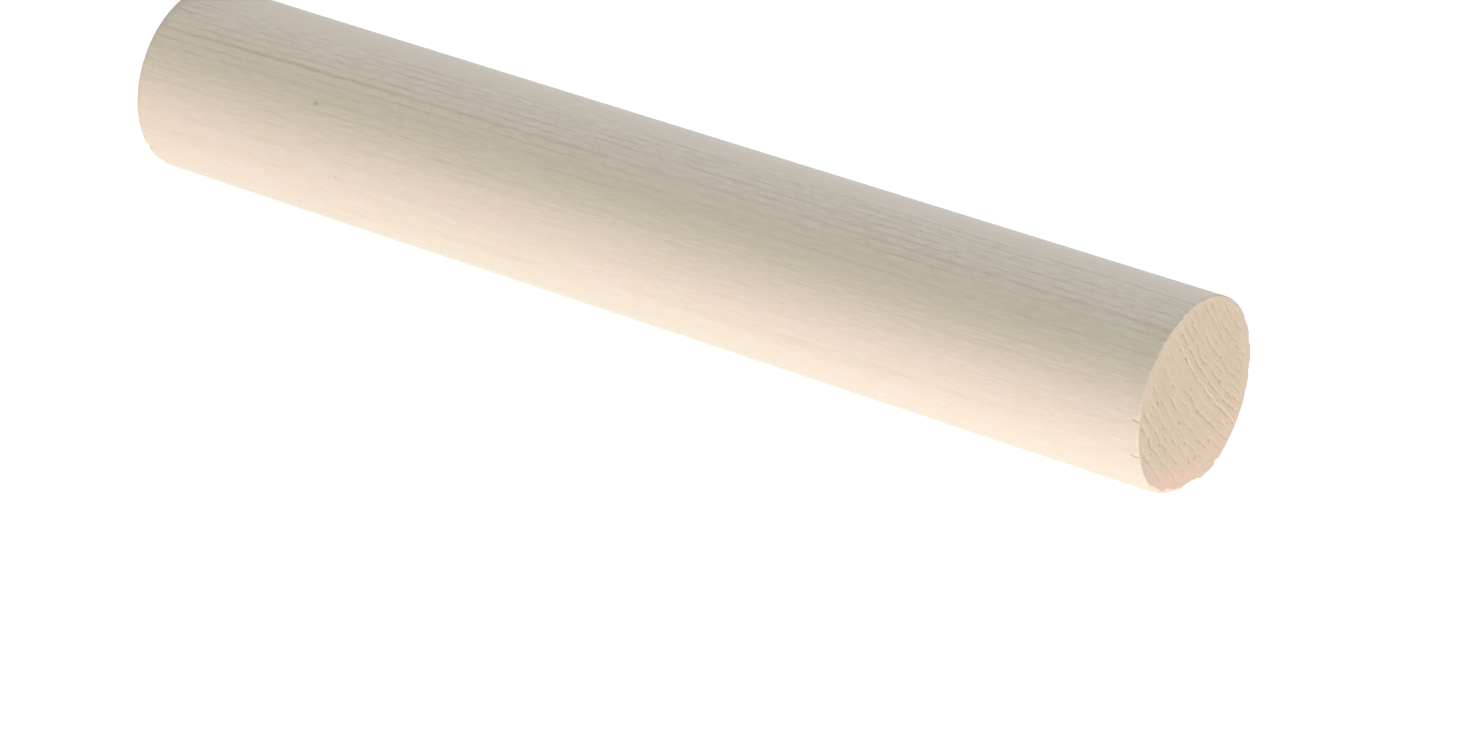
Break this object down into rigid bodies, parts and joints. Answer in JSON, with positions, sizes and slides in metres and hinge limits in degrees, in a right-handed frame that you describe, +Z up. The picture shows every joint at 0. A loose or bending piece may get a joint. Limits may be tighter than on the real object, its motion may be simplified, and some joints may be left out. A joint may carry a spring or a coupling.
{
  "type": "wooden dowel rod",
  "caption": "Short round rod of pale softwood, plain along its whole length, with two square-sawn ends that show the end grain.",
  "frame": {"origin": "centre of the bottom face, on which the rod stands", "axes": "+Z runs up the rod's axis to the chipped sawn face; +X points to the side of the top arris with the widest chips"},
  "size_m": [0.024, 0.024, 0.15],
  "materials": {
    "bare_softwood": "planed and unfinished"
  },
  "bodies": {
    "root": {"dowel_rod": "bare_softwood"}
  },
  "joints": []
}
